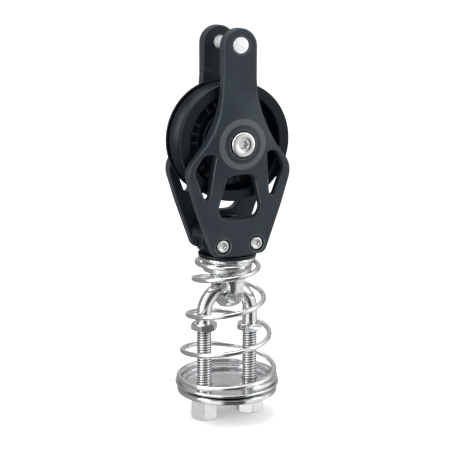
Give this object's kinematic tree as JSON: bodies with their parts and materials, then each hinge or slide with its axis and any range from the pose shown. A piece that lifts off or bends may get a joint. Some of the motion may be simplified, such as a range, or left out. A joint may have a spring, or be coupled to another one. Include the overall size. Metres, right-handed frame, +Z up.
{
  "type": "single sheave block",
  "caption": "Stand-up deck block: a rope sheave between forged side plates with a becket, on a swivel eye, U-bolt and conical spring.",
  "frame": {"origin": "centre of the backing plate's flat underside, between the two lock nuts", "axes": "+Z up the swivel axis away from the deck; +X along the U-bolt from leg to leg, in the plane of the side plates; the sheave turns about Y and the front side plate faces -Y"},
  "size_m": [0.045, 0.0406, 0.1516],
  "materials": {
    "anodised_aluminium": "dark satin anodised, fine-grained, lighter on worn edges",
    "black_acetal": "moulded black acetal with a soft sheen",
    "white_acetal": "natural acetal",
    "bearing_composite": "self-lubricating composite",
    "polished_stainless": "mirror-polished stainless steel",
    "spring_wire": "bright drawn stainless wire",
    "locking_nylon": "blue nylon"
  },
  "bodies": {
    "base": {"base_pan": "polished_stainless", "backing_plate": "polished_stainless", "u_bolt": "polished_stainless", "jam_nut_left": "polished_stainless", "jam_nut_right": "polished_stainless", "lock_nut_left": "polished_stainless", "lock_nut_right": "polished_stainless", "nylon_insert_left": "locking_nylon", "nylon_insert_right": "locking_nylon", "stand_up_spring": "spring_wire"},
    "eye": {"swivel_eye": "polished_stainless", "swivel_washer": "white_acetal", "swivel_nut": "polished_stainless"},
    "block": {"side_plate_front": "anodised_aluminium", "side_plate_back": "anodised_aluminium", "head_block": "black_acetal", "axle": "polished_stainless", "axle_screw_front": "polished_stainless", "axle_screw_back": "polished_stainless", "becket_pin": "polished_stainless", "becket_pin_screw": "polished_stainless", "tie_sleeve_left": "polished_stainless", "tie_sleeve_right": "polished_stainless", "head_screw_front_left": "polished_stainless", "head_screw_front_right": "polished_stainless", "head_screw_back_left": "polished_stainless", "head_screw_back_right": "polished_stainless"},
    "sheave": {"sheave": "black_acetal", "sleeve_bearing": "bearing_composite", "thrust_bearing_front": "black_acetal", "thrust_bearing_back": "black_acetal"}
  },
  "joints": [
    {"name": "toggle_tilt", "type": "hinge", "parent": "base", "child": "eye", "pos_m": [0, 0, 0.0417], "axis": [1, 0, 0], "range_deg": [-60, 60], "stiffness_Nm_per_rad": 0.6, "deforming": ["stand_up_spring"]},
    {"name": "head_swivel", "type": "hinge", "parent": "eye", "child": "block", "pos_m": [0, 0, 0.0546], "axis": [0, 0, 1], "continuous": true},
    {"name": "sheave_spin", "type": "hinge", "parent": "block", "child": "sheave", "pos_m": [0, 0, 0.0991], "axis": [0, 1, 0], "continuous": true}
  ]
}
